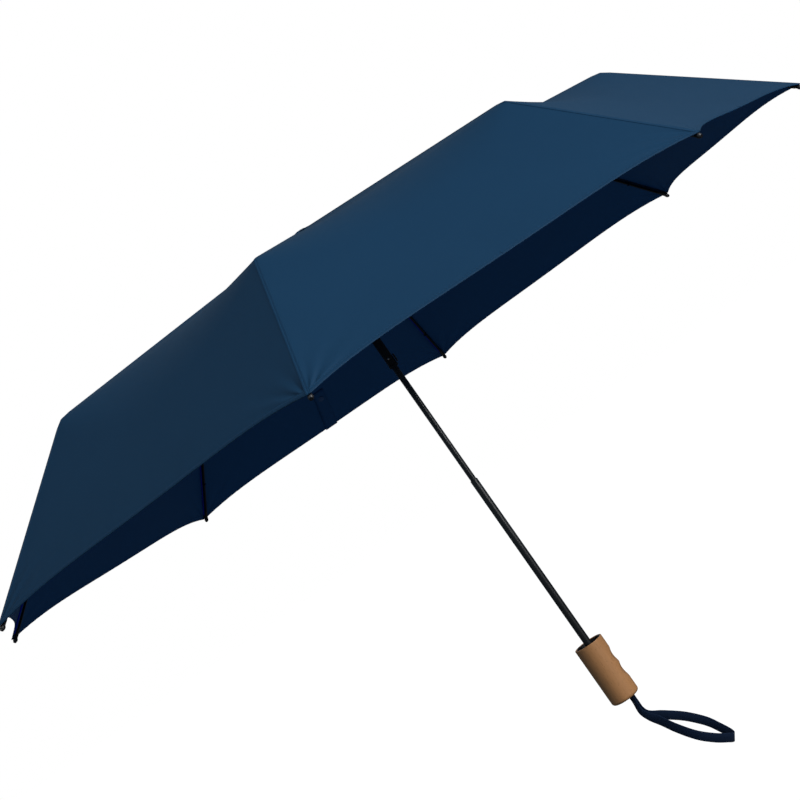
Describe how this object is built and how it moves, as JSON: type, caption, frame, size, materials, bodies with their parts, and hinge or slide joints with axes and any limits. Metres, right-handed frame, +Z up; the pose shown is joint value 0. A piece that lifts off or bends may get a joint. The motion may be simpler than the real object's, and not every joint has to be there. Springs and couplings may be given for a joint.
{
  "type": "compact folding umbrella",
  "caption": "Compact folding umbrella, open: jointed ribs under a cloth canopy, a runner on a telescopic shaft, a short grooved wooden handle and a wrist strap.",
  "frame": {"origin": "centre of the handle's flat bottom face", "axes": "+Z up the shaft, towards the crown; +X towards the finger grooves and the first rib"},
  "size_m": [0.9796, 0.9796, 0.6681],
  "materials": {
    "beech_wood": "satin clear lacquer",
    "black_plastic": "fine matte",
    "black_steel": "gloss black coating",
    "rib_steel": "satin black coating",
    "navy_cloth": "plain woven polyester with a faint sheen",
    "navy_tape": "woven tape"
  },
  "bodies": {
    "handle": {"handle": "beech_wood", "cup_liner": "black_plastic", "lower_tube": "black_steel", "wrist_strap": "navy_tape"},
    "middle_tube": {"middle_tube": "black_steel", "middle_tube_foot": "black_plastic"},
    "upper_tube": {"upper_tube": "black_steel", "upper_tube_foot": "black_plastic", "crown_notch": "black_plastic", "top_cap": "black_plastic"},
    "runner": {"runner": "black_plastic", "runner_catch": "black_plastic"},
    "inner_rib_0": {"inner_rib_0": "rib_steel", "roof_panel_0": "navy_cloth"},
    "middle_rib_0": {"middle_rib_0": "rib_steel", "rim_panel_0": "navy_cloth"},
    "outer_rib_0": {"outer_rib_0": "rib_steel"},
    "stretcher_0": {"stretcher_0": "rib_steel"},
    "inner_rib_1": {"inner_rib_1": "rib_steel", "roof_panel_1": "navy_cloth"},
    "middle_rib_1": {"middle_rib_1": "rib_steel", "rim_panel_1": "navy_cloth"},
    "outer_rib_1": {"outer_rib_1": "rib_steel"},
    "stretcher_1": {"stretcher_1": "rib_steel"},
    "inner_rib_2": {"inner_rib_2": "rib_steel", "roof_panel_2": "navy_cloth"},
    "middle_rib_2": {"middle_rib_2": "rib_steel", "rim_panel_2": "navy_cloth"},
    "outer_rib_2": {"outer_rib_2": "rib_steel"},
    "stretcher_2": {"stretcher_2": "rib_steel"},
    "inner_rib_3": {"inner_rib_3": "rib_steel", "roof_panel_3": "navy_cloth"},
    "middle_rib_3": {"middle_rib_3": "rib_steel", "rim_panel_3": "navy_cloth"},
    "outer_rib_3": {"outer_rib_3": "rib_steel"},
    "stretcher_3": {"stretcher_3": "rib_steel"},
    "inner_rib_4": {"inner_rib_4": "rib_steel", "roof_panel_4": "navy_cloth"},
    "middle_rib_4": {"middle_rib_4": "rib_steel", "rim_panel_4": "navy_cloth"},
    "outer_rib_4": {"outer_rib_4": "rib_steel"},
    "stretcher_4": {"stretcher_4": "rib_steel"},
    "inner_rib_5": {"inner_rib_5": "rib_steel", "roof_panel_5": "navy_cloth"},
    "middle_rib_5": {"middle_rib_5": "rib_steel", "rim_panel_5": "navy_cloth"},
    "outer_rib_5": {"outer_rib_5": "rib_steel"},
    "stretcher_5": {"stretcher_5": "rib_steel"},
    "inner_rib_6": {"inner_rib_6": "rib_steel", "roof_panel_6": "navy_cloth"},
    "middle_rib_6": {"middle_rib_6": "rib_steel", "rim_panel_6": "navy_cloth"},
    "outer_rib_6": {"outer_rib_6": "rib_steel"},
    "stretcher_6": {"stretcher_6": "rib_steel"},
    "inner_rib_7": {"inner_rib_7": "rib_steel", "roof_panel_7": "navy_cloth"},
    "middle_rib_7": {"middle_rib_7": "rib_steel", "rim_panel_7": "navy_cloth"},
    "outer_rib_7": {"outer_rib_7": "rib_steel"},
    "stretcher_7": {"stretcher_7": "rib_steel"}
  },
  "joints": [
    {"name": "middle_tube_slide", "type": "slide", "parent": "handle", "child": "middle_tube", "axis": [0, 0, 1], "range_m": [-0.133, 0]},
    {"name": "upper_tube_slide", "type": "slide", "parent": "middle_tube", "child": "upper_tube", "axis": [0, 0, 1], "range_m": [-0.133, 0]},
    {"name": "runner_slide", "type": "slide", "parent": "upper_tube", "child": "runner", "axis": [0, 0, 1], "range_m": [-0.0842, 0], "deforming": ["roof_panel_0", "rim_panel_0", "roof_panel_1", "rim_panel_1", "roof_panel_2", "rim_panel_2", "roof_panel_3", "rim_panel_3", "roof_panel_4", "rim_panel_4", "roof_panel_5", "rim_panel_5", "roof_panel_6", "rim_panel_6", "roof_panel_7", "rim_panel_7"]},
    {"name": "inner_rib_0_hinge", "type": "hinge", "parent": "upper_tube", "child": "inner_rib_0", "pos_m": [0.009, 0, 0.5693], "axis": [0, 1, 0], "range_deg": [0, 82.4]},
    {"name": "middle_rib_0_hinge", "type": "hinge", "parent": "inner_rib_0", "child": "middle_rib_0", "pos_m": [0.16977, 0, 0.54932], "axis": [0, 1, 0], "range_deg": [-180.05, 0]},
    {"name": "outer_rib_0_hinge", "type": "hinge", "parent": "middle_rib_0", "child": "outer_rib_0", "pos_m": [0.33436, 0, 0.52398], "axis": [0, 1, 0], "range_deg": [0, 148.94]},
    {"name": "stretcher_0_hinge", "type": "hinge", "parent": "runner", "child": "stretcher_0", "pos_m": [0.009, 0, 0.4693], "axis": [0, 1, 0], "range_deg": [-37.47, 0]},
    {"name": "inner_rib_1_hinge", "type": "hinge", "parent": "upper_tube", "child": "inner_rib_1", "pos_m": [0.00636, 0.00636, 0.5693], "axis": [-0.7071, 0.7071, 0], "range_deg": [0, 82.4]},
    {"name": "middle_rib_1_hinge", "type": "hinge", "parent": "inner_rib_1", "child": "middle_rib_1", "pos_m": [0.12005, 0.12005, 0.54932], "axis": [-0.7071, 0.7071, 0], "range_deg": [-180.05, 0]},
    {"name": "outer_rib_1_hinge", "type": "hinge", "parent": "middle_rib_1", "child": "outer_rib_1", "pos_m": [0.23643, 0.23643, 0.52398], "axis": [-0.7071, 0.7071, 0], "range_deg": [0, 148.94]},
    {"name": "stretcher_1_hinge", "type": "hinge", "parent": "runner", "child": "stretcher_1", "pos_m": [0.00636, 0.00636, 0.4693], "axis": [-0.7071, 0.7071, 0], "range_deg": [-37.47, 0]},
    {"name": "inner_rib_2_hinge", "type": "hinge", "parent": "upper_tube", "child": "inner_rib_2", "pos_m": [0, 0.009, 0.5693], "axis": [-1, 0, 0], "range_deg": [0, 82.4]},
    {"name": "middle_rib_2_hinge", "type": "hinge", "parent": "inner_rib_2", "child": "middle_rib_2", "pos_m": [0, 0.16977, 0.54932], "axis": [-1, 0, 0], "range_deg": [-180.05, 0]},
    {"name": "outer_rib_2_hinge", "type": "hinge", "parent": "middle_rib_2", "child": "outer_rib_2", "pos_m": [0, 0.33436, 0.52398], "axis": [-1, 0, 0], "range_deg": [0, 148.94]},
    {"name": "stretcher_2_hinge", "type": "hinge", "parent": "runner", "child": "stretcher_2", "pos_m": [0, 0.009, 0.4693], "axis": [-1, 0, 0], "range_deg": [-37.47, 0]},
    {"name": "inner_rib_3_hinge", "type": "hinge", "parent": "upper_tube", "child": "inner_rib_3", "pos_m": [-0.00636, 0.00636, 0.5693], "axis": [-0.7071, -0.7071, 0], "range_deg": [0, 82.4]},
    {"name": "middle_rib_3_hinge", "type": "hinge", "parent": "inner_rib_3", "child": "middle_rib_3", "pos_m": [-0.12005, 0.12005, 0.54932], "axis": [-0.7071, -0.7071, 0], "range_deg": [-180.05, 0]},
    {"name": "outer_rib_3_hinge", "type": "hinge", "parent": "middle_rib_3", "child": "outer_rib_3", "pos_m": [-0.23643, 0.23643, 0.52398], "axis": [-0.7071, -0.7071, 0], "range_deg": [0, 148.94]},
    {"name": "stretcher_3_hinge", "type": "hinge", "parent": "runner", "child": "stretcher_3", "pos_m": [-0.00636, 0.00636, 0.4693], "axis": [-0.7071, -0.7071, 0], "range_deg": [-37.47, 0]},
    {"name": "inner_rib_4_hinge", "type": "hinge", "parent": "upper_tube", "child": "inner_rib_4", "pos_m": [-0.009, 0, 0.5693], "axis": [0, -1, 0], "range_deg": [0, 82.4]},
    {"name": "middle_rib_4_hinge", "type": "hinge", "parent": "inner_rib_4", "child": "middle_rib_4", "pos_m": [-0.16977, 0, 0.54932], "axis": [0, -1, 0], "range_deg": [-180.05, 0]},
    {"name": "outer_rib_4_hinge", "type": "hinge", "parent": "middle_rib_4", "child": "outer_rib_4", "pos_m": [-0.33436, 0, 0.52398], "axis": [0, -1, 0], "range_deg": [0, 148.94]},
    {"name": "stretcher_4_hinge", "type": "hinge", "parent": "runner", "child": "stretcher_4", "pos_m": [-0.009, 0, 0.4693], "axis": [0, -1, 0], "range_deg": [-37.47, 0]},
    {"name": "inner_rib_5_hinge", "type": "hinge", "parent": "upper_tube", "child": "inner_rib_5", "pos_m": [-0.00636, -0.00636, 0.5693], "axis": [0.7071, -0.7071, 0], "range_deg": [0, 82.4]},
    {"name": "middle_rib_5_hinge", "type": "hinge", "parent": "inner_rib_5", "child": "middle_rib_5", "pos_m": [-0.12005, -0.12005, 0.54932], "axis": [0.7071, -0.7071, 0], "range_deg": [-180.05, 0]},
    {"name": "outer_rib_5_hinge", "type": "hinge", "parent": "middle_rib_5", "child": "outer_rib_5", "pos_m": [-0.23643, -0.23643, 0.52398], "axis": [0.7071, -0.7071, 0], "range_deg": [0, 148.94]},
    {"name": "stretcher_5_hinge", "type": "hinge", "parent": "runner", "child": "stretcher_5", "pos_m": [-0.00636, -0.00636, 0.4693], "axis": [0.7071, -0.7071, 0], "range_deg": [-37.47, 0]},
    {"name": "inner_rib_6_hinge", "type": "hinge", "parent": "upper_tube", "child": "inner_rib_6", "pos_m": [0, -0.009, 0.5693], "axis": [1, 0, 0], "range_deg": [0, 82.4]},
    {"name": "middle_rib_6_hinge", "type": "hinge", "parent": "inner_rib_6", "child": "middle_rib_6", "pos_m": [0, -0.16977, 0.54932], "axis": [1, 0, 0], "range_deg": [-180.05, 0]},
    {"name": "outer_rib_6_hinge", "type": "hinge", "parent": "middle_rib_6", "child": "outer_rib_6", "pos_m": [0, -0.33436, 0.52398], "axis": [1, 0, 0], "range_deg": [0, 148.94]},
    {"name": "stretcher_6_hinge", "type": "hinge", "parent": "runner", "child": "stretcher_6", "pos_m": [0, -0.009, 0.4693], "axis": [1, 0, 0], "range_deg": [-37.47, 0]},
    {"name": "inner_rib_7_hinge", "type": "hinge", "parent": "upper_tube", "child": "inner_rib_7", "pos_m": [0.00636, -0.00636, 0.5693], "axis": [0.7071, 0.7071, 0], "range_deg": [0, 82.4]},
    {"name": "middle_rib_7_hinge", "type": "hinge", "parent": "inner_rib_7", "child": "middle_rib_7", "pos_m": [0.12005, -0.12005, 0.54932], "axis": [0.7071, 0.7071, 0], "range_deg": [-180.05, 0]},
    {"name": "outer_rib_7_hinge", "type": "hinge", "parent": "middle_rib_7", "child": "outer_rib_7", "pos_m": [0.23643, -0.23643, 0.52398], "axis": [0.7071, 0.7071, 0], "range_deg": [0, 148.94]},
    {"name": "stretcher_7_hinge", "type": "hinge", "parent": "runner", "child": "stretcher_7", "pos_m": [0.00636, -0.00636, 0.4693], "axis": [0.7071, 0.7071, 0], "range_deg": [-37.47, 0]}
  ],
  "couplings": [
    {"joint": "inner_rib_0_hinge", "follows": "runner_slide", "rad_per_m": -17.07},
    {"joint": "middle_rib_0_hinge", "follows": "runner_slide", "rad_per_m": 37.311},
    {"joint": "outer_rib_0_hinge", "follows": "runner_slide", "rad_per_m": -30.862},
    {"joint": "stretcher_0_hinge", "follows": "runner_slide", "rad_per_m": 7.7562},
    {"joint": "inner_rib_1_hinge", "follows": "runner_slide", "rad_per_m": -17.07},
    {"joint": "middle_rib_1_hinge", "follows": "runner_slide", "rad_per_m": 37.311},
    {"joint": "outer_rib_1_hinge", "follows": "runner_slide", "rad_per_m": -30.862},
    {"joint": "stretcher_1_hinge", "follows": "runner_slide", "rad_per_m": 7.7562},
    {"joint": "inner_rib_2_hinge", "follows": "runner_slide", "rad_per_m": -17.07},
    {"joint": "middle_rib_2_hinge", "follows": "runner_slide", "rad_per_m": 37.311},
    {"joint": "outer_rib_2_hinge", "follows": "runner_slide", "rad_per_m": -30.862},
    {"joint": "stretcher_2_hinge", "follows": "runner_slide", "rad_per_m": 7.7562},
    {"joint": "inner_rib_3_hinge", "follows": "runner_slide", "rad_per_m": -17.07},
    {"joint": "middle_rib_3_hinge", "follows": "runner_slide", "rad_per_m": 37.311},
    {"joint": "outer_rib_3_hinge", "follows": "runner_slide", "rad_per_m": -30.862},
    {"joint": "stretcher_3_hinge", "follows": "runner_slide", "rad_per_m": 7.7562},
    {"joint": "inner_rib_4_hinge", "follows": "runner_slide", "rad_per_m": -17.07},
    {"joint": "middle_rib_4_hinge", "follows": "runner_slide", "rad_per_m": 37.311},
    {"joint": "outer_rib_4_hinge", "follows": "runner_slide", "rad_per_m": -30.862},
    {"joint": "stretcher_4_hinge", "follows": "runner_slide", "rad_per_m": 7.7562},
    {"joint": "inner_rib_5_hinge", "follows": "runner_slide", "rad_per_m": -17.07},
    {"joint": "middle_rib_5_hinge", "follows": "runner_slide", "rad_per_m": 37.311},
    {"joint": "outer_rib_5_hinge", "follows": "runner_slide", "rad_per_m": -30.862},
    {"joint": "stretcher_5_hinge", "follows": "runner_slide", "rad_per_m": 7.7562},
    {"joint": "inner_rib_6_hinge", "follows": "runner_slide", "rad_per_m": -17.07},
    {"joint": "middle_rib_6_hinge", "follows": "runner_slide", "rad_per_m": 37.311},
    {"joint": "outer_rib_6_hinge", "follows": "runner_slide", "rad_per_m": -30.862},
    {"joint": "stretcher_6_hinge", "follows": "runner_slide", "rad_per_m": 7.7562},
    {"joint": "inner_rib_7_hinge", "follows": "runner_slide", "rad_per_m": -17.07},
    {"joint": "middle_rib_7_hinge", "follows": "runner_slide", "rad_per_m": 37.311},
    {"joint": "outer_rib_7_hinge", "follows": "runner_slide", "rad_per_m": -30.862},
    {"joint": "stretcher_7_hinge", "follows": "runner_slide", "rad_per_m": 7.7562}
  ]
}
